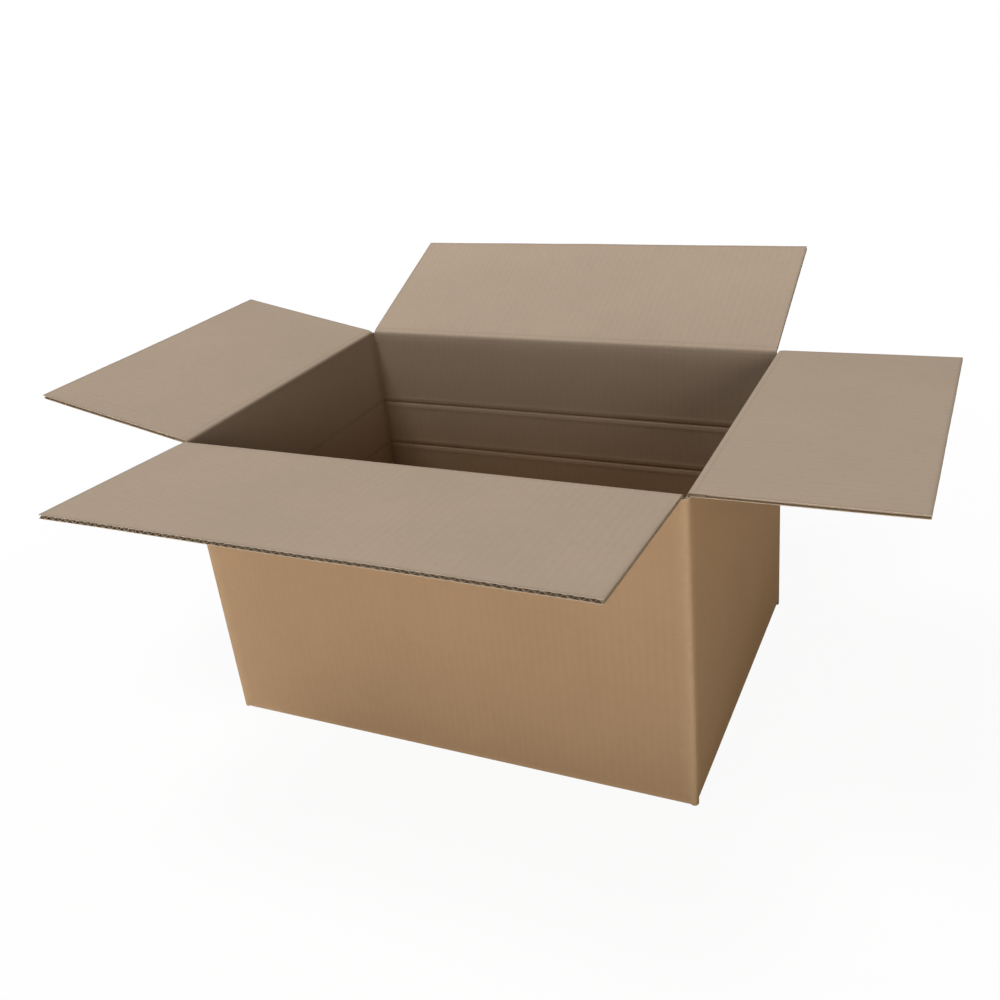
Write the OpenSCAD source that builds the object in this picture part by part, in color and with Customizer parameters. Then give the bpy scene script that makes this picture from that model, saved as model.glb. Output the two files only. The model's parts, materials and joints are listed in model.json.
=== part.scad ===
// Open slotted carton of single-wall corrugated board, folded from one sheet.
// The origin is the middle of the base, on the floor. X runs along the front, Y to the back, Z up.

/* [Carton] */
// Clear length inside, along the front
inside_length = 500; // [400:1:700]
// Clear width inside, front to back
inside_width = 350; // [250:1:390]
// Clear height inside, from the floor to the shut lid
inside_height = 300; // [200:1:450]

/* [Board] */
// Thickness of the corrugated board
board_t = 4; // [3:0.1:5]
// Thickness of each facing sheet
facing_t = 0.4; // [0.3:0.05:0.5]
// Thickness of the wavy sheet between the facings
wave_t = 0.3; // [0.2:0.05:0.4]
// Length of one wave
wave_pitch = 7.9; // [6:0.1:10]

/* [Folds] */
// Inside radius of the upright folds
fold_inside_r = 1; // [0.5:0.1:3]
// Gap at a fold line between a flap and its wall
fold_gap = 0.3; // [0.2:0.05:0.5]
// Width of the strip beside a fold line where the waves are crushed shut
crush_w = 9; // [6:0.5:20]

/* [Flaps] */
// Width of the slots between neighbouring flaps
slot_w = 7; // [6:0.5:12]
// Gap where two long flaps meet in the middle
meet_gap = 2; // [0.5:0.5:6]
// Angle below level to which an open flap can hang
flap_drop = 75; // [30:1:80]

/* [Open flaps] */
// Rise of the front flap above level
front_rise = 3.5; // [-70:0.5:170]
// Rise of the back flap above level
back_rise = 23; // [-70:0.5:170]
// Rise of the left flap above level
left_rise = 11; // [-70:0.5:170]
// Rise of the right flap above level
right_rise = 0.5; // [-70:0.5:170]

/* [Score lines] */
// Number of spare fold lines round the inside of the walls
score_count = 2; // [1:1:3]
// Drop from the top fold line to the first spare fold line
score_drop = 90; // [50:1:110]
// Spacing of the spare fold lines
score_pitch = 57; // [20:1:60]
// Depth of the groove at a spare fold line
score_depth = 0.8; // [0.3:0.1:1.5]
// Width of the groove at a spare fold line
score_w = 5; // [3:0.5:8]

/* [Glued seam] */
// Width of the tab that joins the back wall to the right wall
tab_w = 35; // [25:1:60]
// Length of the slanted cut at each end of the tab
tab_slant = 12; // [5:1:30]
// Distance of the tab's ends from the floor and from the shut flap
tab_setback = 6; // [3:0.5:15]
// Distance of the right wall's cut edge from the back face
seam_setback = 1; // [0.5:0.5:4]

/* [Hidden] */
$fn = 64;
outer_kraft = [0.63, 0.51, 0.38];
inner_kraft = [0.68, 0.61, 0.53];
// How far a cut runs past the face that it opens
overrun = 2;

// Outside of the walls
outside_length = inside_length + 2 * board_t;
outside_width = inside_width + 2 * board_t;
fold_outside_r = fold_inside_r + board_t;

// The long bottom flaps lie on the floor and the side bottom flaps on top of them
floor_z = 2 * board_t;
rim_z = floor_z + inside_height + board_t;

// Side flaps turn about the outer facing and shut below the fold line. Long flaps turn about mid-board and shut
// above them, on top of the wall.
side_fold_z = rim_z;
long_fold_z = rim_z + board_t / 2 + fold_gap;

// All flaps have one cut length, which brings the long flaps together in the middle
flap_reach = (outside_width - meet_gap) / 2;
flap_inset = (board_t + slot_w) / 2;
long_flap_l = outside_length - 2 * flap_inset;
side_flap_l = outside_width - 2 * flap_inset;

// Bevel that lets a long flap hang down past its wall
hang_r = board_t / 2 + fold_gap;
bevel_in = hang_r * tan(flap_drop / 2);
bevel_down = hang_r / cos(flap_drop) - hang_r;

// Waves of the board: their height and the places along one wave where a cell's outline bends
wave_height = board_t / 2 - facing_t - wave_t / 2;
cell_shares = [-0.45, -0.2, 0, 0.2, 0.45];

// Ends of the seam tab
tab_bottom_z = floor_z + tab_setback;
tab_top_z = rim_z - board_t - tab_setback;

// Height of a cell's outline above mid-board, at a share of one wave from the bottom of the wave
function wave_slope(share) = wave_height * 2 * PI / wave_pitch * sin(360 * share);
function cell_edge(share) = wave_t / 2 * sqrt(1 + wave_slope(share) ^ 2) - wave_height * cos(360 * share);

// Middle of an upright fold, where turn is 0 at the back right and goes round by quarter turns
function fold_centre(turn) = [
    sign(cos(turn + 45)) * (outside_length / 2 - fold_outside_r),
    sign(sin(turn + 45)) * (outside_width / 2 - fold_outside_r)
];

// Empty cell between the wavy sheet and one facing, seen along the waves. side is 1 above the wave, -1 below it.
module cell(side) {
    polygon([for (share = cell_shares) [share * wave_pitch, side * cell_edge(share)]]);
}

// Open cells along the free edge of a flap whose fold line lies along X and whose mid-board is at zero height
module cells(flap_l) {
    waves = floor(flap_l / wave_pitch);
    translate([0, flap_reach + overrun, 0])
        rotate([90, 0, 0])
            linear_extrude(flap_reach + overrun - crush_w)
                for (half_wave = [2 - waves : waves])
                    translate([(half_wave - 1) * wave_pitch / 2, 0])
                        cell((half_wave + waves) % 2 == 0 ? -1 : 1);
}

// Solid with the given outline across the board and its length along X
module along_x(length) {
    rotate([90, 0, 90])
        linear_extrude(length, center = true)
            children();
}

// Long flap with its fold axis along X and its free edge towards Y
module long_flap() {
    difference() {
        along_x(long_flap_l) {
            translate([0, -board_t / 2])
                square([flap_reach, board_t]);
            circle(d = board_t);
        }
        cells(long_flap_l);
    }
}

// Side flap with its fold axis along X on the outer facing, and its fold end mitred
module side_flap() {
    difference() {
        along_x(side_flap_l)
            polygon([
                [fold_gap, 0],
                [flap_reach, 0],
                [flap_reach, board_t],
                [fold_gap + board_t, board_t]
            ]);
        translate([0, 0, board_t / 2])
            cells(side_flap_l);
    }
}

// Waste outside an upright fold
module fold_waste() {
    difference() {
        square(fold_outside_r + overrun);
        circle(fold_outside_r);
    }
}

// Plan of the walls, with three folded corners and an open corner at the back right for the seam
module wall_plan() {
    seam_x = outside_length / 2 - board_t;
    difference() {
        square([outside_length, outside_width], center = true);
        for (turn = [90, 180, 270])
            translate(fold_centre(turn))
                rotate(turn)
                    fold_waste();
        difference() {
            square([inside_length, inside_width], center = true);
            for (turn = [90, 180, 270])
                translate(fold_centre(turn))
                    rotate(turn)
                        difference() {
                            square(fold_inside_r);
                            circle(fold_inside_r);
                        }
        }
        translate([seam_x - fold_outside_r, outside_width / 2 - fold_outside_r])
            square([fold_outside_r, fold_outside_r + overrun]);
        translate([seam_x, outside_width / 2 - seam_setback])
            square([board_t + overrun, seam_setback + overrun]);
    }
}

// Seam tab: the back wall's end, turned in and glued flat against the inside of the right wall
module seam_tab() {
    tab_x = outside_length / 2 - 2 * board_t;
    bend_x = tab_x - fold_inside_r;
    bend_y = outside_width / 2 - fold_outside_r;
    translate([bend_x, bend_y, tab_bottom_z])
        linear_extrude(tab_top_z - tab_bottom_z)
            intersection() {
                difference() {
                    circle(fold_outside_r);
                    circle(fold_inside_r);
                }
                square(fold_outside_r);
            }
    difference() {
        translate([tab_x, bend_y, 0])
            rotate([90, 0, 90])
                linear_extrude(board_t)
                    polygon([
                        [0, tab_bottom_z],
                        [0, tab_top_z],
                        [-tab_w, tab_top_z - tab_slant],
                        [-tab_w, tab_bottom_z + tab_slant]
                    ]);
        translate([tab_x, bend_y - tab_w / 2, 0])
            rotate(90)
                score_grooves(tab_w + overrun);
    }
}

// Grooves of the spare fold lines along X, cut into a face at zero depth
module score_grooves(length) {
    for (line = [0 : score_count - 1])
        translate([0, 0, rim_z - score_drop - line * score_pitch])
            along_x(length)
                polygon([[-score_depth, 0], [0, score_w / 2], [score_depth, 0], [0, -score_w / 2]]);
}

// Long wall's lower fold with its bottom flap, lying on the floor, for the back of the carton
module long_bottom_flap() {
    along_x(long_flap_l) {
        translate([meet_gap / 2, 0])
            square([inside_width / 2 - meet_gap / 2, board_t]);
        translate([inside_width / 2, board_t])
            square([board_t, board_t]);
        intersection() {
            translate([inside_width / 2, board_t])
                circle(board_t);
            translate([inside_width / 2, 0])
                square(board_t);
        }
    }
}

// Side wall's lower fold with its bottom flap, lying on the long bottom flaps, for a wall that faces Y
module side_bottom_flap() {
    along_x(side_flap_l) {
        translate([outside_length / 2 - flap_reach, board_t])
            square([flap_reach - board_t, board_t]);
        intersection() {
            translate([inside_length / 2, floor_z])
                circle(board_t);
            translate([inside_length / 2, board_t])
                square(board_t);
        }
    }
}

// Mitre along the top of a side wall that faces Y, matching the side flap's fold end
module side_mitre() {
    depth = board_t + overrun;
    translate([0, outside_length / 2, side_fold_z])
        along_x(side_flap_l + 2 * fold_gap)
            polygon([[0, 0], [-depth, -depth], [-depth, overrun], [0, overrun]]);
}

// Bevel along the outer top edge of the back wall, which clears a hanging flap
module long_bevel() {
    translate([0, outside_width / 2, rim_z])
        along_x(long_flap_l)
            polygon([
                [-bevel_in, 0],
                [0, -bevel_down],
                [overrun, -bevel_down],
                [overrun, overrun],
                [-bevel_in, overrun]
            ]);
}

module carton_body() {
    color(outer_kraft) {
        difference() {
            translate([0, 0, floor_z])
                linear_extrude(rim_z - floor_z)
                    wall_plan();
            for (turn = [0, 180]) {
                rotate(turn)
                    long_bevel();
                rotate(turn)
                    translate([0, inside_width / 2, 0])
                        score_grooves(inside_length);
            }
            for (turn = [90, 270]) {
                rotate(turn)
                    side_mitre();
                rotate(turn)
                    translate([0, inside_length / 2, 0])
                        score_grooves(inside_width);
            }
        }
        seam_tab();
        for (turn = [0, 180])
            rotate(turn)
                long_bottom_flap();
        for (turn = [90, 270])
            rotate(turn)
                side_bottom_flap();
    }
}

module front_flap() {
    color(inner_kraft)
        translate([0, -outside_width / 2, long_fold_z])
            rotate([front_rise, 0, 180])
                long_flap();
}

module back_flap() {
    color(inner_kraft)
        translate([0, outside_width / 2, long_fold_z])
            rotate([back_rise, 0, 0])
                long_flap();
}

module left_flap() {
    color(inner_kraft)
        translate([-outside_length / 2, 0, side_fold_z])
            rotate([left_rise, 0, 90])
                side_flap();
}

module right_flap() {
    color(inner_kraft)
        translate([outside_length / 2, 0, side_fold_z])
            rotate([right_rise, 0, -90])
                side_flap();
}

carton_body();
front_flap();
back_flap();
left_flap();
right_flap();
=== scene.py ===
"""Open carton of single-wall corrugated board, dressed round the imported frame.

Every surface is worked out with numpy as a board between two like grids of points: the walls are one
sheet carried round the plan, each fold is a profile carried along its crease, and each flap is two
facings with a wavy sheet between them.
"""
import json
import math

import bpy
import numpy as np
from mathutils import Matrix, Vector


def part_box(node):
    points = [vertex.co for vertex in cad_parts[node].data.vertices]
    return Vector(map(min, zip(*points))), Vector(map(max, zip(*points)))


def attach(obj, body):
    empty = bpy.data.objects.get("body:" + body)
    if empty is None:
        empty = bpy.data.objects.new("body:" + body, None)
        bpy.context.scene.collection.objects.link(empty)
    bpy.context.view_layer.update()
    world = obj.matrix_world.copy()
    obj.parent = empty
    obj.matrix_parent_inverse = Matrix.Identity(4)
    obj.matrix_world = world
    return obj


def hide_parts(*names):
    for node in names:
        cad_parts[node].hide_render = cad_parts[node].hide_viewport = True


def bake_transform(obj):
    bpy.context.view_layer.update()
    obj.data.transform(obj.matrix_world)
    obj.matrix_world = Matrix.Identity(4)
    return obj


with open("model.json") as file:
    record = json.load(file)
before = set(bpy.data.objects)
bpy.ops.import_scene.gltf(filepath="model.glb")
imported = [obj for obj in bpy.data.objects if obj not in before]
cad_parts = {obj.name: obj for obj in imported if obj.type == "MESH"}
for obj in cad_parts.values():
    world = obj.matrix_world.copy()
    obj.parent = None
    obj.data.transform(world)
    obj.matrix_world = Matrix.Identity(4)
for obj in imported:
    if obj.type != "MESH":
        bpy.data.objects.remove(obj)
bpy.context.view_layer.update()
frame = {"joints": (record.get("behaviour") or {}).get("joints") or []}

# Board and cut sheet, in metres
MM = 0.001
BOARD = 4.0 * MM
HALF = BOARD / 2
FACING = 0.4 * MM
WAVE_T = 0.3 * MM
WAVE_PITCH = 7.9 * MM
SLOT = 7.0 * MM
MEET_GAP = 2.0 * MM
FLOOR_Z = 2 * BOARD

# Walls: how far they swell and how unevenly, and where their corners end below
SWELL = 0.6 * MM
SWELL_UNEVEN = 0.5 * MM
POST_FOOT = 1.5 * MM

# Upright folds: radius of the middle line, how far and how widely the inner facing is pressed thin, how far
# the rubbing outside reaches, which also paints a highlight on the bend, and how far and how strongly shade
# is painted inside the corner
UPRIGHT_R = 1.6 * MM
UPRIGHT_THIN = 0.9 * MM
UPRIGHT_THIN_W = 2.0 * MM
UPRIGHT_RUB_HIGHLIGHT_W = 3.5 * MM
UPRIGHT_SHADE_W = 9.0 * MM
UPRIGHT_SHADE = 0.4

# Top folds: radius of the middle line, how far and how widely the bend is pressed thin, how far it is
# rubbed, which also paints a highlight on the bend, how far it bends to each side of the long and side
# axes, and the two lines that the creasing wheel leaves inside, with painted shade along them
TOP_R = 1.7 * MM
TOP_THIN = 0.3
TOP_THIN_W = 2.4 * MM
TOP_RUB_HIGHLIGHT_W = 3.0 * MM
LONG_BEND = 4.0 * MM
SIDE_BEND = 3.0 * MM
WHEEL_OFF = 4.6 * MM
WHEEL_W = 1.0 * MM
WHEEL_DEPTH = 0.2 * MM
WHEEL_SHADE = 0.5

# Base folds, in the same order
BASE_R = HALF
BASE_THIN = 0.1
BASE_THIN_W = 3.0 * MM
BASE_RUB_HIGHLIGHT_W = 3.5 * MM

# Top and base folds: width of the bent strip on each side of the fold line, and the length round the
# middle of a bend over which the wall's rubbing, painted highlight and painted shade give way to the flap's
STRIP = 12.0 * MM
WEAR_SHADE_FADE = 4.0 * MM

# Flaps: how far they warp, with long ones outward and side ones inward, so that they still lie on each
# other when shut
WARP = 0.8 * MM
WARP_POWER = 1.5

# Cut edges: how far and how widely the knife presses the board together at a flap's ends and at its free
# edge, the share of the reach over which the ends come free of the crease, how far the free edge strays
# from a straight line, how much shorter the waves of that are than the board's other unevenness, how fast
# it dies away from the edge, and how far the wavy sheet lies behind the ends
END_PINCH = 0.06
EDGE_PINCH = 0.04
PINCH_W = 1.8 * MM
FREE_SHARE = 0.25
STRAY = 0.12 * MM
STRAY_STRETCH = 6
STRAY_POWER = 24
WAVE_INSET = 0.3 * MM

# Spare fold lines round the inside: their drops below the rim, the groove, the shoulders that the
# pressing pushes up beside it, how deep and how uneven the pressing is, and the painted shade along it
SCORE_DROPS = np.array([90.0, 147.0]) * MM
SCORE_DEPTH = 0.8 * MM
SCORE_W = 5.0 * MM
SHOULDER = 0.3 * MM
SHOULDER_OFF = 5.6 * MM
SHOULDER_W = 2.2 * MM
SCORE_PRESSED = 0.8
SCORE_UNEVEN = 0.35
SCORE_SHADE = 0.6
SCORE_SHADE_W = 1.6 * MM

# Seam tab
TAB_W = 35.0 * MM
TAB_SLANT = 12.0 * MM
TAB_SETBACK = 6.0 * MM
SEAM_SETBACK = 1.0 * MM

# Rows and columns of points on the walls: steps along the plan and round a bend, the gap where the height
# of the sheet jumps, two levels with fixed rows between them, rows past each level, and rows beside a
# spare fold line
WALL_STEP = 8.0 * MM
BEND_STEPS = 8
NIP = 0.02 * MM
LOW_LEVEL = 40.0 * MM
HIGH_LEVEL = 270.0 * MM
ROW_STEP = 10.0 * MM
END_ROWS = 4
SCORE_ROWS = np.array([0, 0.5, 1, 1.5, 2, 2.5, 3.1, 3.8, 4.6, 5.5, 6.4, 7.4, 8.6, 10]) * MM

# Rows and columns on the folds: columns near each end and between, points round the bend, and rows on
# each side of it
CREASE_END_COLUMNS = np.array([0.0, 1.5, 3.0, 4.5, 6.0, 8.0, 10.0, 13.0, 17.0]) * MM
CREASE_COLUMNS = 48
TOP_BEND_POINTS = 15
TOP_ROWS = 8
BASE_BEND_POINTS = 11
BASE_ROWS = 4

# Rows and columns on the flaps: lines near a cut edge, the zone that they lie in, rows and columns
# between, points along one wave, and how many rows the wavy sheet skips
EDGE_LINES = np.array([0.0, 0.5, 1.2, 2.2, 4.0]) * MM
EDGE_ZONE = 8.0 * MM
FLAP_ROWS = 18
FLAP_COLUMNS = 72
WAVE_POINTS = 12
WAVE_ROW_SKIP = 6

# Unevenness: waves per metre, what their sum is divided by, and the seeds of the walls, the spare fold
# lines, the top flaps and the bottom flaps
RIPPLE_WAVES = (3.0, 7.0, 13.0, 21.0)
RIPPLE_SUM = 0.6
WALL_SEED, SCORE_SEED, TOP_SEED, BASE_SEED = 11, 12, 20, 40

# Edges that turn by more than this are drawn sharp
SHARP_ANGLE = math.radians(40)

# Finishes, in the order of a piece's material slots
OUTER, INNER, SECTION, PAPER = range(4)

# Sizes from the frame
HALF_L, HALF_W, RIM_Z = np.array(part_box("carton_body")[1])
FLAP_REACH = HALF_W - MEET_GAP / 2
FLAP_INSET = (BOARD + SLOT) / 2
joints = {joint["name"]: joint for joint in frame["joints"]}

X, Y, Z = np.eye(3)


# Arrays into meshes

def slab(front, back, uv, finishes, rub_and_highlight=0.0, press_and_shade=0.0):
    """Closed board between two like grids: the front grid faces out, the back grid the other way, and a
    rim of quads joins their borders. finishes are those of the front, the back and the rim.
    rub_and_highlight marks the places that are rubbed light, which also paints highlights on bends, and
    press_and_shade the places that are pressed dark, which also paints shade in corners and grooves, for
    both grids alike or for each."""
    rows, cols = front.shape[:2]
    count = rows * cols
    index = np.arange(count).reshape(rows, cols)
    quads = np.stack([index[:-1, :-1], index[1:, :-1], index[1:, 1:], index[:-1, 1:]], -1).reshape(-1, 4)
    loop = np.concatenate([index[:-1, 0], index[-1, :-1], index[:0:-1, -1], index[0, :0:-1]])
    after = np.roll(loop, -1)
    rim = np.stack([after, loop, loop + count, after + count], -1)
    faces = np.concatenate([quads, quads[:, ::-1] + count, rim])
    row, col = rows // 2, cols // 2
    middle = front[row, col]
    turn = np.cross(middle - front[row - 1, col], middle - front[row, col - 1])
    if turn @ (middle - back[row, col]) < 0:
        faces = faces[:, ::-1]
    return {
        "points": np.concatenate([front.reshape(-1, 3), back.reshape(-1, 3)]),
        "uv": np.tile(uv.reshape(-1, 2), (2, 1)),
        "rub_and_highlight": np.broadcast_to(rub_and_highlight, (2, rows, cols)).ravel(),
        "press_and_shade": np.broadcast_to(press_and_shade, (2, rows, cols)).ravel(),
        "layer": np.repeat([1.0, -1.0], count),
        "faces": faces,
        "finish": np.repeat(finishes, [len(quads), len(quads), len(rim)]),
    }


def make_piece(name, slabs, materials):
    """One mesh object from several slabs, with the sheet's flat coordinates as UV and its marks as
    attributes of the points."""
    starts = np.cumsum([0] + [len(part["points"]) for part in slabs[:-1]])
    faces = np.concatenate([part["faces"] + start for part, start in zip(slabs, starts)])
    joined = {
        key: np.concatenate([part[key] for part in slabs])
        for key in ("points", "uv", "finish", "rub_and_highlight", "press_and_shade", "layer")
    }
    mesh = bpy.data.meshes.new(name)
    mesh.from_pydata(joined["points"].tolist(), [], faces.tolist())
    mesh.uv_layers.new(name="sheet").data.foreach_set("uv", joined["uv"][faces.ravel()].ravel())
    for label in ("rub_and_highlight", "press_and_shade", "layer"):
        mesh.attributes.new(label, "FLOAT", "POINT").data.foreach_set("value", joined[label])
    for material in materials:
        mesh.materials.append(material)
    mesh.polygons.foreach_set("material_index", joined["finish"].astype(np.int32))
    mesh.polygons.foreach_set("use_smooth", np.ones(len(faces), bool))
    mesh.set_sharp_from_angle(angle=SHARP_ANGLE)
    mesh.update()
    piece = bpy.data.objects.new(name, mesh)
    bpy.context.collection.objects.link(piece)
    return piece


def ripple(a, b, seed):
    """Smooth unevenness between about -1 and 1: a sum of sine waves over two lengths in metres, each with
    a seeded direction and phase and a height that falls with its number of waves."""
    rng = np.random.default_rng(seed)
    total = 0.0
    for waves in RIPPLE_WAVES:
        turn, phase = rng.uniform(0, 2 * np.pi, 2)
        along = a * np.cos(turn) + b * np.sin(turn)
        total = total + np.sin(2 * np.pi * waves * along + phase) / waves
    return total / RIPPLE_SUM


def falloff(distance, width):
    """Bell curve that is 1 at no distance and has faded out at about twice the width."""
    return np.exp(-(distance / width) ** 2)


def lengths(line):
    """Length run so far at each point of a line."""
    return np.concatenate([[0], np.cumsum(np.linalg.norm(np.diff(line, axis=0), axis=1))])


# The walls: one sheet carried round the plan

def run(start, end):
    """Straight run of the plan with its left-hand normal, in even steps."""
    start, end = np.array(start), np.array(end)
    length = np.linalg.norm(end - start)
    shares = np.linspace(0, 1, max(2, round(length / WALL_STEP) + 1))[:, None]
    way = (end - start) / length
    return start + shares * (end - start), np.tile([-way[1], way[0]], (len(shares), 1))


def bend(centre, first):
    """Quarter circle of the middle line round an upright fold, clockwise from an angle in degrees."""
    angle = np.radians(np.linspace(first, first - 90, BEND_STEPS + 1))
    normal = np.stack([np.cos(angle), np.sin(angle)], -1)
    return np.array(centre) + UPRIGHT_R * normal, normal


# Places on the plan: the walls' middle lines, the ends of the upright folds and of the flaps, and the tab
wall_x, wall_y = HALF_L - HALF, HALF_W - HALF
fold_x, fold_y = wall_x - UPRIGHT_R, wall_y - UPRIGHT_R
reach_x, reach_y = HALF_L - FLAP_INSET, HALF_W - FLAP_INSET
tab_x = wall_x - BOARD
bend_x = tab_x - UPRIGHT_R

# Lowest and highest heights of the sheet: at a corner, between two bent strips, and at the tab's root
# and end
POST = (POST_FOOT, RIM_Z)
PANEL = (STRIP, RIM_Z - STRIP)
TAB_ROOT = (FLOOR_Z + TAB_SETBACK, RIM_Z - BOARD - TAB_SETBACK)
TAB_END = (TAB_ROOT[0] + TAB_SLANT, TAB_ROOT[1] - TAB_SLANT)


def corner(side_x, side_y, first):
    """Parts of the plan at one upright fold, clockwise: a post, the bend and the next post. side_x and
    side_y are the signs of the corner's place. first is the angle at which the bend starts, which lies
    along X where the fold comes after a side wall."""
    before = [(side_x * wall_x, side_y * y) for y in (reach_y + NIP, fold_y - NIP)]
    after = [(side_x * x, side_y * wall_y) for x in (reach_x + NIP, fold_x - NIP)]
    if first % 180:
        before, after = after, before
    return [
        ("post", run(*before), POST, POST),
        ("bend", bend((side_x * fold_x, side_y * fold_y), first), POST, POST),
        ("post", run(*after[::-1]), POST, POST),
    ]


# Each part of the plan, clockwise from the seam: its name, its points and normals, and the sheet's lowest
# and highest heights at its start and at its end
PLAN = [
    ("post", run((wall_x, HALF_W - SEAM_SETBACK), (wall_x, reach_y + NIP)), POST, POST),
    ("right", run((wall_x, reach_y), (wall_x, -reach_y)), PANEL, PANEL),
    *corner(1, -1, 0),
    ("front", run((reach_x, -wall_y), (-reach_x, -wall_y)), PANEL, PANEL),
    *corner(-1, -1, -90),
    ("left", run((-wall_x, -reach_y), (-wall_x, reach_y)), PANEL, PANEL),
    *corner(-1, 1, 180),
    ("back", run((-reach_x, wall_y), (bend_x - NIP, wall_y)), PANEL, PANEL),
    ("bend", bend((bend_x, fold_y), 90), TAB_ROOT, TAB_ROOT),
    ("tab", run((tab_x, fold_y - NIP), (tab_x, fold_y - TAB_W)), TAB_ROOT, TAB_END),
]
WALLS = ("right", "front", "left", "back")


def walls():
    """The plan's middle line carried up the walls. Heights run in fixed rows between two levels and are
    spread evenly from there to each part's own ends. The outer facing lies half a board outside the
    middle line and the inner one half a board inside, and both swell as half a sine wave each way. A spare
    fold line is a groove in the inner facing, a raised cosine in height, between two rounded shoulders
    that the pressing has pushed up. Returns the sheet and the middle of each part on the flat sheet."""
    names, courses, firsts, lasts = zip(*PLAN)
    counts = [len(points) for points, _ in courses]
    line = np.concatenate([points for points, _ in courses])
    normal = np.concatenate([normals for _, normals in courses])
    ends = np.concatenate([np.linspace(*part) for part in zip(firsts, lasts, counts)])
    sheet_x = lengths(line)
    stops = np.cumsum(counts)
    home = {
        name: (sheet_x[stop - count] + sheet_x[stop - 1]) / 2
        for name, stop, count in zip(names, stops, counts)
    }

    scores = RIM_Z - SCORE_DROPS
    rows = [np.arange(LOW_LEVEL, HIGH_LEVEL + MM, ROW_STEP)]
    rows += [score + sign * SCORE_ROWS for score in scores for sign in (-1, 1)]
    rows = np.unique(np.round(np.concatenate(rows), 7))
    shares = np.linspace(0, 1, END_ROWS + 1)
    lowest, highest = ends[:, :1], ends[:, 1:]
    height = np.concatenate([
        lowest + shares[:-1] * (LOW_LEVEL - lowest),
        np.tile(rows, (len(line), 1)),
        HIGH_LEVEL + shares[1:] * (highest - HIGH_LEVEL),
    ], axis=1)

    across = sheet_x[:, None]
    bow = np.concatenate([
        np.sin(np.pi * np.linspace(0, 1, count)) * (name in WALLS) for name, count in zip(names, counts)
    ])[:, None]
    belly = np.sin(np.pi * np.clip((height - STRIP) / (RIM_Z - 2 * STRIP), 0, 1))
    swell = bow * belly * (SWELL + SWELL_UNEVEN * ripple(across, height, WALL_SEED))
    away = np.abs(height[..., None] - scores).min(-1)
    pressed = SCORE_PRESSED + SCORE_UNEVEN * ripple(across, 0.0, SCORE_SEED)
    groove = SCORE_DEPTH * np.where(away < SCORE_W / 2, np.cos(np.pi * away / SCORE_W) ** 2, 0)
    shoulder = SHOULDER * falloff(away - SHOULDER_OFF, SHOULDER_W)
    bent = np.repeat(np.array(names) == "bend", counts)
    near_bend = np.abs(across - sheet_x[bent]).min(1)[:, None]
    thinned = UPRIGHT_THIN * falloff(near_bend, UPRIGHT_THIN_W)

    def facing(offset):
        """Points at an offset from the middle line along its normals."""
        flat = line[:, None] + normal[:, None] * offset[..., None]
        return np.concatenate([flat, height[..., None]], -1)

    none = np.zeros_like(height)
    # Outside the upright folds the board is rubbed light, which also paints a highlight on the bend
    rub_and_highlight = np.stack([none + falloff(near_bend, UPRIGHT_RUB_HIGHLIGHT_W), none])
    # Painted shade: darker inside the upright folds' corners and along the spare fold lines' grooves
    painted_shade = UPRIGHT_SHADE * falloff(near_bend, UPRIGHT_SHADE_W)
    painted_shade = painted_shade + SCORE_SHADE * pressed * falloff(away, SCORE_SHADE_W)
    sheet = slab(
        facing(swell + HALF),
        facing(swell - HALF + pressed * (groove - shoulder) + thinned),
        np.stack(np.broadcast_arrays(across, height), -1),
        (OUTER, INNER, SECTION), rub_and_highlight, np.stack([none, painted_shade]))
    return sheet, home


# Folds and flaps, each in its own frame: out from the wall, along the crease, and up

def place(fold, out, along, up):
    """Points from their distances out from the wall's outer face, along the crease and up from the fold's
    height."""
    out, along, up = (part[..., None] for part in np.broadcast_arrays(out, along, up))
    return fold["root"] + out * fold["out"] + along * fold["along"] + up * Z


def on_sheet(fold, along, sheet_y):
    """Coordinates on the flat sheet of places along the crease and at a height of the sheet."""
    return np.stack(np.broadcast_arrays(fold["sheet_x"] + fold["sense"] * along, sheet_y), -1)


def carried(fold, profile, normal, away, thick, rub_and_highlight, wheel, sheet_y):
    """Bent strip of board: a profile across the crease, carried along it, with facings as far to each side
    as thick says. normal points to the outer facing, and away is the length from the middle of the bend.
    rub_and_highlight marks where the strip is rubbed light outside, which also paints a highlight on the
    bend, and wheel where the creasing wheel presses it inside, with painted shade along its lines. Up to
    the bend it takes over the wall's rubbing and painted highlight beside the upright folds, and the
    painted shade of the inside corner, apart from the seam's end."""
    half = fold["half"]
    even = np.linspace(CREASE_END_COLUMNS[-1] - half, half - CREASE_END_COLUMNS[-1], CREASE_COLUMNS)
    along = np.concatenate([CREASE_END_COLUMNS - half, even[1:-1], half - CREASE_END_COLUMNS[::-1]])
    bend_gap = half - np.abs(along) + FLAP_INSET - HALF - UPRIGHT_R
    bend_gap = np.where(np.sign(along) == fold["seam"], np.inf, bend_gap)
    on_wall = np.clip(0.5 - away / WEAR_SHADE_FADE, 0, 1)[:, None]
    rub_and_highlight = np.maximum(rub_and_highlight[:, None], on_wall * falloff(bend_gap, UPRIGHT_RUB_HIGHLIGHT_W))
    # Painted shade in the inside corner beside the upright folds and along the creasing wheel's lines
    corner_shade = on_wall * UPRIGHT_SHADE * falloff(bend_gap, UPRIGHT_SHADE_W)
    painted_shade = np.maximum(WHEEL_SHADE * wheel[:, None], corner_shade)
    none = np.zeros_like(rub_and_highlight)
    outer = profile + normal * thick[:, None]
    inner = profile - normal * (thick - WHEEL_DEPTH * wheel)[:, None]
    faces = [place(fold, side[:, :1], along[None], side[:, 1:]) for side in (outer, inner)]
    return slab(*faces, on_sheet(fold, along[None], sheet_y[:, None]), (OUTER, INNER, SECTION),
                np.stack([rub_and_highlight, none]), np.stack([none, painted_shade]))


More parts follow.
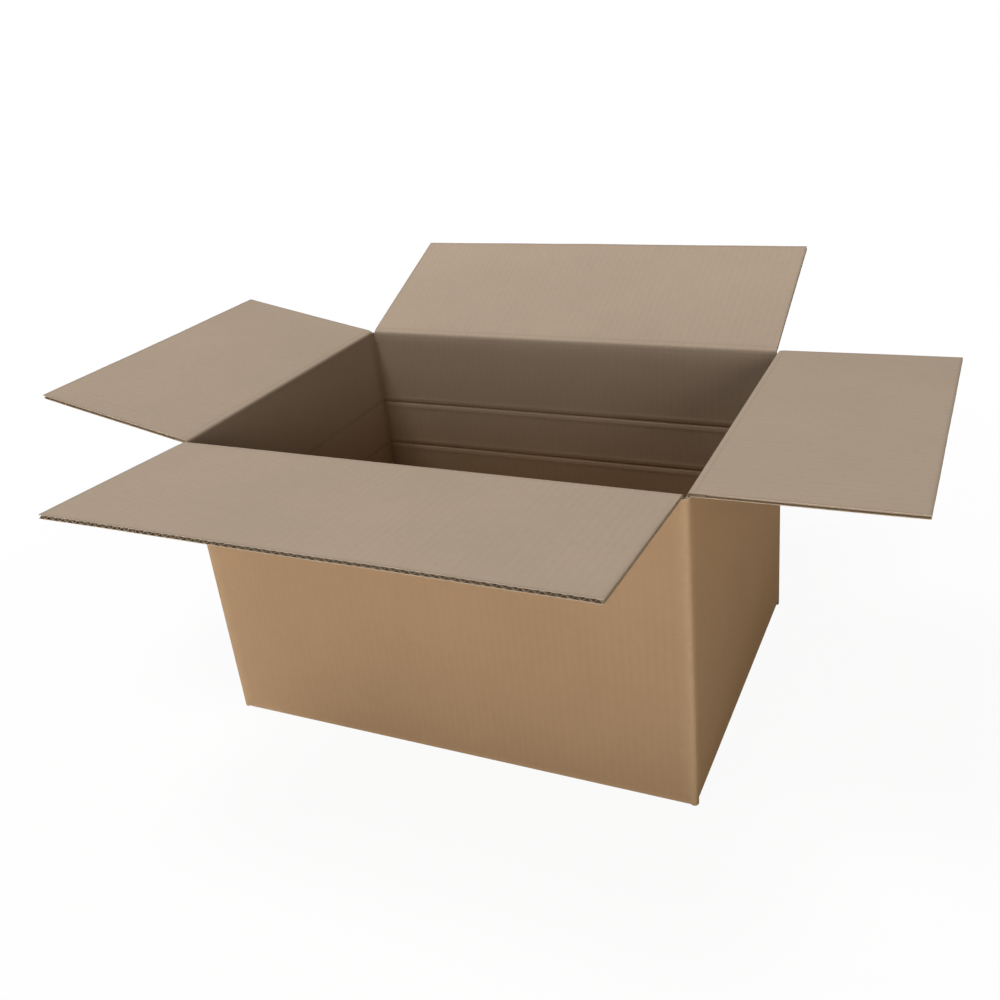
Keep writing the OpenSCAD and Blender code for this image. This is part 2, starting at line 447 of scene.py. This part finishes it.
def top_fold(fold):
    """Strip whose profile goes up the wall, round an arc that is tangent to the wall and to the flap, and
    out along the flap. Returns it and the height on the flat sheet at which it ends."""
    mid, way = fold["mid"], fold["way"]
    meet_u = (mid * way[1] - HALF) / way[0]
    meet = mid * fold["inward"] + meet_u * way
    turn = np.pi / 2 - fold["rise"]
    tangent = TOP_R * np.tan(turn / 2)
    start = np.array([-HALF, meet[1] - tangent])
    angle = np.linspace(0, turn, TOP_BEND_POINTS)
    arc = start + TOP_R * np.stack([1 - np.cos(angle), np.sin(angle)], -1)
    wall_foot = RIM_Z - STRIP - fold["root"][2]
    wall_z = np.linspace(wall_foot, start[1], TOP_ROWS + 1)[:-1]
    wall = np.stack([np.full(TOP_ROWS, -HALF), wall_z], -1)
    flap = meet + np.linspace(tangent, STRIP - meet_u, TOP_ROWS + 1)[1:, None] * way
    profile = np.concatenate([wall, arc, flap])
    normal = np.concatenate([
        np.tile([1.0, 0.0], (TOP_ROWS, 1)),
        np.stack([np.cos(angle), -np.sin(angle)], -1),
        np.tile(-fold["inward"], (TOP_ROWS, 1)),
    ])
    length = lengths(profile)
    away = length - (length[TOP_ROWS] + length[TOP_ROWS + TOP_BEND_POINTS - 1]) / 2
    thick = HALF * (1 - TOP_THIN * falloff(away, TOP_THIN_W))
    wheel = falloff(np.abs(away) - WHEEL_OFF, WHEEL_W)
    sheet_y = RIM_Z - STRIP + length
    # The fold is rubbed light outside, which also paints a highlight on the bend
    strip = carried(fold, profile, normal, away, thick, falloff(away, TOP_RUB_HIGHLIGHT_W), wheel, sheet_y)
    return strip, sheet_y[-1]


def base_fold(fold):
    """Strip whose profile goes down the wall, round a quarter circle and in along the bottom flap. Returns
    it and the height on the flat sheet at which it ends."""
    floor = fold["level"] + HALF
    centre = np.array([-HALF - BASE_R, floor + BASE_R])
    angle = np.linspace(0, -np.pi / 2, BASE_BEND_POINTS)
    radial = np.stack([np.cos(angle), np.sin(angle)], -1)
    arc = centre + BASE_R * radial
    wall_z = np.linspace(STRIP, arc[0, 1], BASE_ROWS + 1)[:-1]
    flap_out = np.linspace(arc[-1, 0], -STRIP, BASE_ROWS + 1)[1:]
    profile = np.concatenate([
        np.stack([np.full(BASE_ROWS, -HALF), wall_z], -1),
        arc,
        np.stack([flap_out, np.full(BASE_ROWS, floor)], -1),
    ])
    normal = np.concatenate([
        np.tile([1.0, 0.0], (BASE_ROWS, 1)),
        radial,
        np.tile([0.0, -1.0], (BASE_ROWS, 1)),
    ])
    length = lengths(profile)
    away = length - length.mean()
    thick = HALF * (1 - BASE_THIN * falloff(away, BASE_THIN_W))
    sheet_y = STRIP - length
    # The fold is rubbed light outside, which also paints a highlight on the bend
    strip = carried(fold, profile, normal, away, thick, falloff(away, BASE_RUB_HIGHLIGHT_W), 0 * length, sheet_y)
    return strip, sheet_y[-1]


def flap_board(fold, start, sheet_start, sheet_sense, seed, warp):
    """Flat board past a fold: two facings and, between them, a sheet waved as a cosine along the crease,
    which come together a little towards the cut edges. start is the point of the middle line beside the
    wall. sheet_start and sheet_sense say where and in which sense its length goes on from the fold's on the
    flat sheet."""
    half, reach = fold["half"], FLAP_REACH
    even = np.linspace(-half, half, FLAP_COLUMNS)
    along = np.concatenate([EDGE_LINES - half, even[1:-1], half - EDGE_LINES[::-1]])
    edge = reach - EDGE_LINES[::-1]
    inner_rows = np.linspace(STRIP, reach - EDGE_ZONE, FLAP_ROWS)
    far = np.concatenate([inner_rows, edge])
    stray = STRAY * ripple(even * STRAY_STRETCH, 0.0, seed)

    def layer(along, far, height, thickness):
        """Both faces of a sheet at a height over mid-board, which warps with a power of the distance from
        the crease, with its flat coordinates and the marks along its cut edges."""
        u, v = far[:, None], along[None]
        curl = (u - STRIP) / (reach - STRIP)
        at_end = falloff(half - np.abs(v), PINCH_W) * np.clip(curl / FREE_SHARE, 0, 1)
        at_edge = falloff(reach - u, PINCH_W)
        lift = height * (1 - END_PINCH * at_end - EDGE_PINCH * at_edge)
        lift = lift + warp * curl ** WARP_POWER * (1 + ripple(u, v, seed)) / 2
        u = u + curl ** STRAY_POWER * np.interp(v, even, stray)

        def sheet(offset):
            """Points of the sheet at an offset from its middle."""
            flat = start + u[..., None] * fold["way"] + (lift + offset)[..., None] * fold["inward"]
            return place(fold, flat[..., 0], v, flat[..., 1])

        uv = on_sheet(fold, v, sheet_start + sheet_sense * (u - STRIP))
        return sheet(thickness / 2), sheet(-thickness / 2), uv, np.maximum(at_end, at_edge)

    level = HALF - FACING / 2
    over, under, uv, press_and_shade = layer(along, far, level, FACING)
    inner_facing = slab(over, under, uv, (INNER, PAPER, PAPER), press_and_shade=press_and_shade)
    over, under, uv, press_and_shade = layer(along, far, -level, FACING)
    outer_facing = slab(under, over, uv, (OUTER, PAPER, PAPER), press_and_shade=press_and_shade)
    steps = int(2 * half / WAVE_PITCH) * WAVE_POINTS
    crest = np.linspace(WAVE_INSET - half, half - WAVE_INSET, steps + 1)
    swing = (HALF - FACING - WAVE_T / 2) * np.cos(2 * np.pi * crest / WAVE_PITCH)
    wave_rows = np.concatenate([inner_rows[::WAVE_ROW_SKIP], edge])
    over, under, uv, _ = layer(crest, wave_rows, swing, WAVE_T)
    return [inner_facing, outer_facing, slab(over, under, uv, (PAPER, PAPER, PAPER))]


# Finishes: shared effects as groups, then one material for each side of the paper

def new_group(name, inputs, outputs):
    """Empty shader node group with named sockets; returns its tree, the sockets that come in and the node
    that takes the results."""
    tree = bpy.data.node_groups.new(name, "ShaderNodeTree")
    for label, kind in inputs.items():
        tree.interface.new_socket(label, in_out="INPUT", socket_type=kind)
    for label in outputs:
        tree.interface.new_socket(label, in_out="OUTPUT", socket_type="NodeSocketFloat")
    return tree, tree.nodes.new("NodeGroupInput").outputs, tree.nodes.new("NodeGroupOutput")


def node(tree, kind, links=None, **values):
    """Node of a kind with its properties set; links gives, for each input, a socket to join or a value to
    hold."""
    made = tree.nodes.new(kind)
    for key, value in values.items():
        setattr(made, key, value)
    for key, value in (links or {}).items():
        if isinstance(value, bpy.types.NodeSocket):
            tree.links.new(value, made.inputs[key])
        else:
            made.inputs[key].default_value = value
    return made


def calc(tree, operation, *values, clamp=False):
    """Math node on up to three sockets or numbers."""
    made = node(tree, "ShaderNodeMath", dict(enumerate(values)), operation=operation, use_clamp=clamp)
    return made.outputs[0]


def weighted(tree, total, *terms):
    """Sum of a start value and of sockets times their weights."""
    for value, weight in terms:
        total = calc(tree, "MULTIPLY_ADD", value, weight, total)
    return total


def ramp(tree, value, first, last, low=0.0, curve="LINEAR"):
    """Value that goes from low to 1 while another goes from first to last, and stays there outside."""
    links = {0: value, 1: first, 2: last, 3: low, 4: 1.0}
    return node(tree, "ShaderNodeMapRange", links, interpolation_type=curve).outputs[0]


def noise(tree, vector, scale=1.0, detail=3.0, roughness=0.6):
    """Noise centred on zero."""
    links = {"Vector": vector, "Scale": scale, "Detail": detail, "Roughness": roughness}
    return calc(tree, "SUBTRACT", node(tree, "ShaderNodeTexNoise", links).outputs["Fac"], 0.5)


def stretched(tree, vector, scale):
    """Coordinates stretched by a scale along each axis."""
    return node(tree, "ShaderNodeMapping", {"Vector": vector, "Scale": scale}).outputs[0]


def part_of(tree, vector, axis):
    """One of a vector's three parts."""
    return node(tree, "ShaderNodeSeparateXYZ", {"Vector": vector}).outputs[axis]


def blended(tree, share, first, second):
    """Mix of two colours."""
    links = {"Factor": share, 6: first, 7: second}
    return node(tree, "ShaderNodeMix", links, data_type="RGBA").outputs[2]


def scaled(tree, colour, tone):
    """Colour made lighter or darker by a tone."""
    return node(tree, "ShaderNodeVectorMath", {0: colour, "Scale": tone}, operation="SCALE").outputs[0]


# Scales of the paper's pattern, in places per metre, and the shares of grain, fibres and clouds in its tone
GRAIN_SCALE = 1500.0
FIBRE_SCALE = (260.0, 1700.0, 1.0)
CLOUD_SCALE = 120.0
FLECK_SCALE = (180.0, 420.0, 1.0)
GRAIN_SHARE, FIBRE_SHARE, CLOUD_SHARE = 0.55, 0.8, 0.5

# Flecks: where they start and are full, as shares of a cell, and the share of the cells that have none
FLECK_EDGE, FLECK_CORE = 0.2, 0.08
FLECK_FREE_SHARE = 0.86

# Flute lines: scale of their stronger and weaker places, and their mean strength
FLUTE_PATCH_SCALE = 14.0
FLUTE_STRENGTH = 0.75

# Mottle: scales of the patches and of the streaks along the flutes, and the streaks' share
PATCH_SCALE = 9.0
STREAK_SCALE = (130.0, 5.0, 1.0)
STREAK_SHARE = 0.2

# Rubbing, which also paints highlights, and pressing, which also paints shade: scale of the noise that
# breaks them up, the share of each mark that stays, and how far each is broken
WEAR_SHADE_SCALE = 160.0
WEAR_SHADE_SHARE = 0.85
RUB_HIGHLIGHT_BREAK, PRESS_SHADE_BREAK = 1.2, 0.6

SURFACE_INPUTS = {"Sheet": "NodeSocketVector", "Place": "NodeSocketVector"}
WEAR_SHADE_INPUTS = {"Rub": "NodeSocketFloat", "Press": "NodeSocketFloat", "Place": "NodeSocketVector"}


def paper_group():
    """Paper: fine grain, fibres drawn out along the sheet, cloudy thickness and a few dark flecks."""
    tree, ins, outs = new_group("kraft_paper", SURFACE_INPUTS, ["Tone", "Flecks", "Height"])
    grain = noise(tree, ins["Place"], GRAIN_SCALE)
    fibre = noise(tree, stretched(tree, ins["Sheet"], FIBRE_SCALE))
    cloud = noise(tree, ins["Place"], CLOUD_SCALE, detail=4.0)
    tone = weighted(tree, 0.0, (grain, GRAIN_SHARE), (fibre, FIBRE_SHARE), (cloud, CLOUD_SHARE))
    cells = node(tree, "ShaderNodeTexVoronoi", {
        "Vector": stretched(tree, ins["Sheet"], FLECK_SCALE), "Scale": 1.0, "Randomness": 1.0})
    near = ramp(tree, cells.outputs["Distance"], FLECK_EDGE, FLECK_CORE)
    draw = node(tree, "ShaderNodeSeparateColor", {"Color": cells.outputs["Color"]}).outputs[0]
    few = calc(tree, "GREATER_THAN", draw, FLECK_FREE_SHARE)
    tree.links.new(tone, outs.inputs["Tone"])
    tree.links.new(calc(tree, "MULTIPLY", near, few), outs.inputs["Flecks"])
    tree.links.new(calc(tree, "ADD", grain, fibre), outs.inputs["Height"])
    return tree


def flute_group():
    """Washboard: the waves under the facing show as faint even lines, stronger in some places than in
    others."""
    tree, ins, outs = new_group("flute_lines", SURFACE_INPUTS, ["Wave"])
    angle = calc(tree, "MULTIPLY", part_of(tree, ins["Sheet"], 0), 2 * math.pi / WAVE_PITCH)
    patches = noise(tree, ins["Place"], FLUTE_PATCH_SCALE, detail=2.0, roughness=0.5)
    strength = calc(tree, "ADD", patches, FLUTE_STRENGTH)
    wave = calc(tree, "MULTIPLY", calc(tree, "SINE", angle), strength)
    tree.links.new(wave, outs.inputs["Wave"])
    return tree


def mottle_group():
    """Broad patches, a little lighter and darker, with faint streaks along the flutes."""
    tree, ins, outs = new_group("board_mottle", SURFACE_INPUTS, ["Tone"])
    patch = noise(tree, ins["Place"], PATCH_SCALE, roughness=0.55)
    streak = noise(tree, stretched(tree, ins["Sheet"], STREAK_SCALE))
    tree.links.new(weighted(tree, patch, (streak, STREAK_SHARE)), outs.inputs["Tone"])
    return tree


def wear_shade_group():
    """Places marked as rubbed, which also paint highlights, broken up by noise, and places marked as
    pressed, which also paint shade, broken up less.
    """
    tree, ins, outs = new_group("board_wear_and_shade", WEAR_SHADE_INPUTS, ["Rubbed", "Pressed"])
    rough = noise(tree, ins["Place"], WEAR_SHADE_SCALE, detail=4.0, roughness=0.65)
    for label, share, result in (("Rub", RUB_HIGHLIGHT_BREAK, "Rubbed"), ("Press", PRESS_SHADE_BREAK, "Pressed")):
        broken = weighted(tree, WEAR_SHADE_SHARE, (rough, share))
        worn = calc(tree, "MULTIPLY", ins[label], broken, clamp=True)
        tree.links.new(worn, outs.inputs[result])
    return tree


paper_effect, flute_effect, mottle_effect, wear_shade_effect = (
    paper_group(), flute_group(), mottle_group(), wear_shade_group())

# Surface of the paper: its gloss, its roughness and how far the grain changes it, the depth of its bumps
# and their strength, and the flute lines' share in their height
GLOSS = 0.015
KRAFT_ROUGHNESS, KRAFT_SWING = 0.75, 0.12
SECTION_ROUGHNESS, SECTION_SWING = 0.85, 0.1
BUMP_DEPTH = 0.25 * MM
KRAFT_BUMP, SECTION_BUMP = 0.3, 0.4
FLUTE_BUMP = 0.3

# How far mottle and flecks change the colour, and the drops below the rim between which the inner paper
# takes the painted shade of the carton's inside
MOTTLE = 0.12
FLECKS = 0.4
SHADE_FROM, SHADE_TO = 15.0 * MM, 230.0 * MM

# Cut section, in shares of half the board: where the wave's line ends and is full, where the facings
# start and are full, and how far the grain changes the tone
WAVE_EDGE, WAVE_CORE = 0.28, 0.14
FACING_EDGE, FACING_CORE = 0.7, 0.8
SECTION_GRAIN = 0.4


def opaque(colour):
    """Colour with a full alpha."""
    return (*colour, 1.0)


def effect(tree, group, **links):
    """Outputs of a shared effect, placed in a material."""
    return node(tree, "ShaderNodeGroup", links, node_tree=group).outputs


def mark(tree, name):
    """Value of one of the board's marks."""
    return node(tree, "ShaderNodeAttribute", attribute_name=name).outputs["Fac"]


def new_finish(name):
    """Empty finish: the material, its tree, the coordinates on the flat sheet and in space, and the paper's
    grain."""
    material = bpy.data.materials.new(name)
    material.use_nodes = True
    tree = material.node_tree
    sheet = node(tree, "ShaderNodeUVMap", uv_map="sheet").outputs["UV"]
    spot = node(tree, "ShaderNodeTexCoord").outputs["Object"]
    grain = effect(tree, paper_effect, Sheet=sheet, Place=spot)
    return material, tree, sheet, spot, grain


def set_surface(tree, colour, roughness, height, bump):
    """Gives a finish's shader its matt gloss, its colour, its roughness and its bumps."""
    shader = tree.nodes["Principled BSDF"]
    shader.inputs["Specular IOR Level"].default_value = GLOSS
    tree.links.new(colour, shader.inputs["Base Color"])
    tree.links.new(roughness, shader.inputs["Roughness"])
    links = {"Strength": bump, "Distance": BUMP_DEPTH, "Height": height}
    tree.links.new(node(tree, "ShaderNodeBump", links).outputs[0], shader.inputs["Normal"])


def kraft(name, colour, fleck, rubbed_highlight, rub_and_highlight, press_and_shade, shade_colour=None, paper=0.16, flute=0.014):
    """Kraft paper: a colour made lighter and darker by paper, flutes and mottle, flecked, pressed dark and
    rubbed light, where the pressing also paints shade and the rubbing a highlight. rub_and_highlight,
    press_and_shade, paper and flute say how strongly. Where a shade colour is given, the sheet takes it
    below the rim as painted shade, darker down the inside of the carton."""
    material, tree, sheet, spot, grain = new_finish(name)
    wave = effect(tree, flute_effect, Sheet=sheet, Place=spot)["Wave"]
    patch = effect(tree, mottle_effect, Sheet=sheet, Place=spot)["Tone"]
    wear_shade = effect(tree, wear_shade_effect, Rub=mark(tree, "rub_and_highlight"), Press=mark(tree, "press_and_shade"), Place=spot)
    # Painted shade inside the carton: below the rim the colour turns darker and more saturated downward
    if shade_colour:
        height = part_of(tree, sheet, 1)
        shading = ramp(tree, height, RIM_Z - SHADE_FROM, RIM_Z - SHADE_TO, curve="SMOOTHSTEP")
        colour = blended(tree, shading, opaque(colour), opaque(shade_colour))
    # Pressed places are darker, which also paints shade in corners and grooves
    tone = weighted(tree, 1.0, (grain["Tone"], paper), (wave, flute), (patch, MOTTLE),
                    (wear_shade["Pressed"], -press_and_shade))
    toned = scaled(tree, colour, tone)
    toned = blended(tree, calc(tree, "MULTIPLY", grain["Flecks"], FLECKS), toned, opaque(fleck))
    # Rubbed places are lighter, which also paints highlights on the bends
    toned = blended(tree, calc(tree, "MULTIPLY", wear_shade["Rubbed"], rub_and_highlight), toned, opaque(rubbed_highlight))
    roughness = weighted(tree, KRAFT_ROUGHNESS, (grain["Tone"], -KRAFT_SWING))
    bumps = weighted(tree, grain["Height"], (wave, FLUTE_BUMP))
    set_surface(tree, toned, roughness, bumps, KRAFT_BUMP)
    return material


def cut_section(name, colour, hollow_shade):
    """Cut end of the board: the two facings and the wavy sheet between them are lines of paper, and the
    hollows between them are painted dark as shade. The layer mark runs from one facing to the other, and
    the wave is a cosine along the flat sheet."""
    material, tree, sheet, _, grain = new_finish(name)
    layer = mark(tree, "layer")
    angle = calc(tree, "MULTIPLY", part_of(tree, sheet, 0), 2 * math.pi / WAVE_PITCH)
    off_wave = weighted(tree, layer, (calc(tree, "COSINE", angle), FACING / HALF - 1))
    on_wave = ramp(tree, calc(tree, "ABSOLUTE", off_wave), WAVE_EDGE, WAVE_CORE)
    on_facing = ramp(tree, calc(tree, "ABSOLUTE", layer), FACING_EDGE, FACING_CORE)
    toned = scaled(tree, colour, weighted(tree, 1.0, (grain["Tone"], SECTION_GRAIN)))
    # The hollows are painted dark as shade
    drawn = blended(tree, calc(tree, "MAXIMUM", on_wave, on_facing), opaque(hollow_shade), toned)
    roughness = weighted(tree, SECTION_ROUGHNESS, (grain["Tone"], -SECTION_SWING))
    set_surface(tree, drawn, roughness, grain["Height"], SECTION_BUMP)
    return material


# Colours in linear light: each paper with its flecks and its rubbed places, which also paint highlights,
# the painted shade inside the carton, and the painted shade in the cut's hollows
OUTER_COLOUR, OUTER_FLECK, OUTER_RUBBED_HIGHLIGHT = (0.392, 0.256, 0.148), (0.20, 0.12, 0.06), (0.52, 0.36, 0.22)
INNER_COLOUR, INNER_FLECK, INNER_RUBBED_HIGHLIGHT = (0.424, 0.332, 0.254), (0.22, 0.15, 0.09), (0.47, 0.38, 0.29)
INSIDE_SHADE_COLOUR = (0.300, 0.195, 0.102)
PAPER_COLOUR, PAPER_FLECK = (0.500, 0.403, 0.302), (0.24, 0.17, 0.11)
HOLLOW_SHADE_COLOUR = (0.20, 0.15, 0.10)

materials = [
    kraft("outer_kraft", OUTER_COLOUR, OUTER_FLECK, OUTER_RUBBED_HIGHLIGHT, rub_and_highlight=0.5, press_and_shade=0.1),
    kraft("inner_kraft", INNER_COLOUR, INNER_FLECK, INNER_RUBBED_HIGHLIGHT, rub_and_highlight=0.2, press_and_shade=0.24, shade_colour=INSIDE_SHADE_COLOUR),
    cut_section("cut_section", PAPER_COLOUR, HOLLOW_SHADE_COLOUR),
    kraft("wave_paper", PAPER_COLOUR, PAPER_FLECK, PAPER_COLOUR, rub_and_highlight=0.0, press_and_shade=0.0, paper=0.3, flute=0.0),
]


# The pieces

wall_sheet, sheet_home = walls()
carton_walls = make_piece("carton_walls", [wall_sheet], materials)
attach(carton_walls, "carton")
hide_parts("carton_body")

# Long and side flaps: half their length, their fold's distance from the middle, the height of the middle
# line over the fold axis, the bend's reach to each side of it, the warp, and the height of the bottom flap
LONG = {"half": reach_x, "dist": HALF_W, "mid": 0.0, "bend": LONG_BEND, "warp": -WARP, "level": 0.0}
SIDE = {"half": reach_y, "dist": HALF_L, "mid": HALF, "bend": SIDE_BEND, "warp": WARP, "level": BOARD}

# Each side: its ways out and along, its sense along the flat sheet, and the end that has the seam in place
# of an upright fold
SIDES = {
    "front": dict(LONG, out=-Y, along=X, sense=-1.0, seam=0),
    "back": dict(LONG, out=Y, along=X, sense=1.0, seam=0),
    "left": dict(SIDE, out=-X, along=Y, sense=1.0, seam=0),
    "right": dict(SIDE, out=X, along=Y, sense=-1.0, seam=1),
}


def top_facts(facts, joint):
    """A side's facts with those of its top flap: its root on the fold axis, its rise, which is what its
    travel to shut leaves of a half turn, and the ways along the flap and to its inner facing."""
    rise = math.radians(180.0 - joint["range_deg"][1])
    way = np.array([math.cos(rise), math.sin(rise)])
    root = facts["dist"] * facts["out"] + joint["pos_m"][2] * Z
    return dict(facts, root=root, rise=rise, way=way, inward=np.array([-way[1], way[0]]))


def base_facts(facts):
    """A side's facts with those of its bottom flap, which lies level and reaches inward."""
    root = facts["dist"] * facts["out"]
    return dict(facts, root=root, way=np.array([-1.0, 0.0]), inward=np.array([0.0, 1.0]))


base_slabs = []
for number, (side, facts) in enumerate(SIDES.items()):
    name = side + "_flap"
    facts["sheet_x"] = sheet_home[side]
    fold = top_facts(facts, joints[name + "_fold"])
    fold_slab, sheet_end = top_fold(fold)
    crease = make_piece(name + "_crease", [fold_slab], materials)
    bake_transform(crease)

    start = fold["mid"] * fold["inward"]
    board_slabs = flap_board(fold, start, sheet_end, 1.0, TOP_SEED + number, fold["warp"])
    board = make_piece(name + "_board", board_slabs, materials)
    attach(board, name)
    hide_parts(name)

    base = base_facts(facts)
    base_slab, base_end = base_fold(base)
    start = np.array([0.0, base["level"] + HALF])
    base_slabs += [base_slab, *flap_board(base, start, base_end, -1.0, BASE_SEED + number, 0.0)]

carton_base = make_piece("carton_base", base_slabs, materials)
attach(carton_base, "carton")


# Stage, light and camera

# Floor: its reach, its colours in the open and under the carton, where it is painted dark as shade, the
# radius inside which it counts as under the carton, and how white it is seen from near to far
FLOOR_REACH = 12.0
FLOOR_COLOUR = (0.86, 0.86, 0.86)
SHADED_COLOUR = (0.08, 0.06, 0.04)
UNDER_CARTON = 160.0 * MM
NEAR_FLOOR, FAR_FLOOR = 0.35, 1.2
NEAR_WHITE = 0.94
FLOOR_ROUGHNESS, FLOOR_GLOSS = 0.9, 0.1

# Soft boxes: place, aim, width and height in metres, power in watts, and colour
WHITE = (1.0, 1.0, 1.0)
LIGHTS = {
    "overhead_box": ((-1.0, -0.5, 4.5), (0.0, 0.0, 0.3), (1.8, 1.8), 168.0, WHITE),
    "front_box": ((-0.6, -2.5, 0.22), (0.0, 0.0, 0.2), (1.0, 0.5), 26.5, WHITE),
    "viewer_fill": ((1.86, -1.88, 1.0), (0.0, 0.0, 0.3), (1.0, 1.0), 13.4, (1.0, 0.95, 0.84)),
    "right_fill": ((2.2, 0.2, 0.17), (0.0, 0.1, 0.17), (1.2, 0.28), 3.6, (1.0, 0.84, 0.48)),
    "back_fill": ((-0.4, 2.3, 0.17), (0.0, 0.0, 0.17), (1.2, 0.28), 8.0, WHITE),
}
WORLD_LEVEL = 0.06

# Camera: its place, its turn round Z, tilt and roll in degrees, and its focal length and picture centre as
# shares of the picture's width
CAMERA_PLACE = (0.4671, -0.8957, 0.6874)
CAMERA_TURN, CAMERA_TILT, CAMERA_ROLL = 25.79, 24.81, -5.52
CAMERA_FOCAL = 1.0581
CAMERA_CENTRE = (0.5325, 0.4752)
SENSOR_W = 36.0


def seen_as_ground(tree):
    """1 for rays from the camera, also by way of gloss or glass, and 0 for the light that falls on the
    carton."""
    path = node(tree, "ShaderNodeLightPath").outputs
    seen = calc(tree, "MAXIMUM", path["Is Camera Ray"], path["Is Glossy Ray"])
    return calc(tree, "MAXIMUM", seen, path["Is Transmission Ray"])


def pale_floor():
    """Wide pale floor; the camera sees it nearly white, with the carton's soft shadow. Under the carton it
    is painted dark as shade, so that nothing bright shows in the gap between the bottom flaps."""
    mesh = bpy.data.meshes.new("studio_floor")
    corners = [(FLOOR_REACH * x, FLOOR_REACH * y, 0.0) for x, y in ((-1, -1), (1, -1), (1, 1), (-1, 1))]
    mesh.from_pydata(corners, [], [(0, 1, 2, 3)])
    floor = bpy.data.objects.new("studio_floor", mesh)
    bpy.context.collection.objects.link(floor)
    material = bpy.data.materials.new("studio_floor")
    material.use_nodes = True
    tree = material.node_tree
    shader = tree.nodes["Principled BSDF"]
    shader.inputs["Roughness"].default_value = FLOOR_ROUGHNESS
    shader.inputs["Specular IOR Level"].default_value = FLOOR_GLOSS
    spot = node(tree, "ShaderNodeTexCoord").outputs["Object"]
    far = node(tree, "ShaderNodeVectorMath", {0: spot}, operation="LENGTH").outputs["Value"]
    # Painted shade: the floor under the carton is dark
    open_floor = calc(tree, "GREATER_THAN", far, UNDER_CARTON)
    ground = blended(tree, open_floor, opaque(SHADED_COLOUR), opaque(FLOOR_COLOUR))
    tree.links.new(ground, shader.inputs["Base Color"])
    white = ramp(tree, far, NEAR_FLOOR, FAR_FLOOR, low=NEAR_WHITE, curve="SMOOTHSTEP")
    seen = calc(tree, "MULTIPLY", seen_as_ground(tree), white)
    share = calc(tree, "MULTIPLY", seen, open_floor)
    glow = node(tree, "ShaderNodeEmission", {"Color": opaque(WHITE), "Strength": 1.0})
    mixed = node(tree, "ShaderNodeMixShader", {0: share, 1: shader.outputs[0], 2: glow.outputs[0]})
    tree.links.new(mixed.outputs[0], tree.nodes["Material Output"].inputs["Surface"])
    mesh.materials.append(material)


def put(name, data, right, up, back, spot):
    """Object for a lamp or a camera at a place, with its ways to the right, up and back."""
    turn = np.eye(4)
    turn[:3] = np.stack([right, up, back, spot], -1)
    made = bpy.data.objects.new(name, data)
    made.matrix_world = Matrix(turn.tolist())
    bpy.context.collection.objects.link(made)
    return made


def soft_light(name, spot, aim, size, power, colour):
    """Soft box of a width and height at a place, turned to a point."""
    lamp = bpy.data.lights.new(name, "AREA")
    lamp.shape = "RECTANGLE"
    lamp.size, lamp.size_y = size
    lamp.energy = power
    lamp.color = colour
    back = np.array(spot) - np.array(aim)
    back /= np.linalg.norm(back)
    right = np.cross(Z, back)
    right /= np.linalg.norm(right)
    put(name, lamp, right, np.cross(back, right), back, spot)


def studio_world():
    """Even pale surroundings; the camera sees them white."""
    world = bpy.data.worlds.new("studio")
    bpy.context.scene.world = world
    world.use_nodes = True
    tree = world.node_tree
    background = tree.nodes["Background"]
    strength = weighted(tree, WORLD_LEVEL, (seen_as_ground(tree), 1.0 - WORLD_LEVEL))
    tree.links.new(strength, background.inputs["Strength"])
    background.inputs["Color"].default_value = opaque(WHITE)


def view_camera():
    """Camera that looks down on the carton from the front right, as the photograph does."""
    turn, tilt, roll = (math.radians(angle) for angle in (CAMERA_TURN, CAMERA_TILT, CAMERA_ROLL))
    level = np.array([math.sin(turn), -math.cos(turn), 0.0])
    back = math.cos(tilt) * level + math.sin(tilt) * Z
    right = np.array([math.cos(turn), math.sin(turn), 0.0])
    up = np.cross(back, right)
    rolled_right = math.cos(roll) * right + math.sin(roll) * up
    rolled_up = math.cos(roll) * up - math.sin(roll) * right
    data = bpy.data.cameras.new("camera")
    data.sensor_width = SENSOR_W
    data.lens = CAMERA_FOCAL * SENSOR_W
    data.shift_x, data.shift_y = 0.5 - CAMERA_CENTRE[0], CAMERA_CENTRE[1] - 0.5
    bpy.context.scene.camera = put("camera", data, rolled_right, rolled_up, back, CAMERA_PLACE)


pale_floor()
for light, settings in LIGHTS.items():
    soft_light(light, *settings)
studio_world()
view_camera()
bpy.context.scene.view_settings.view_transform = "Standard"
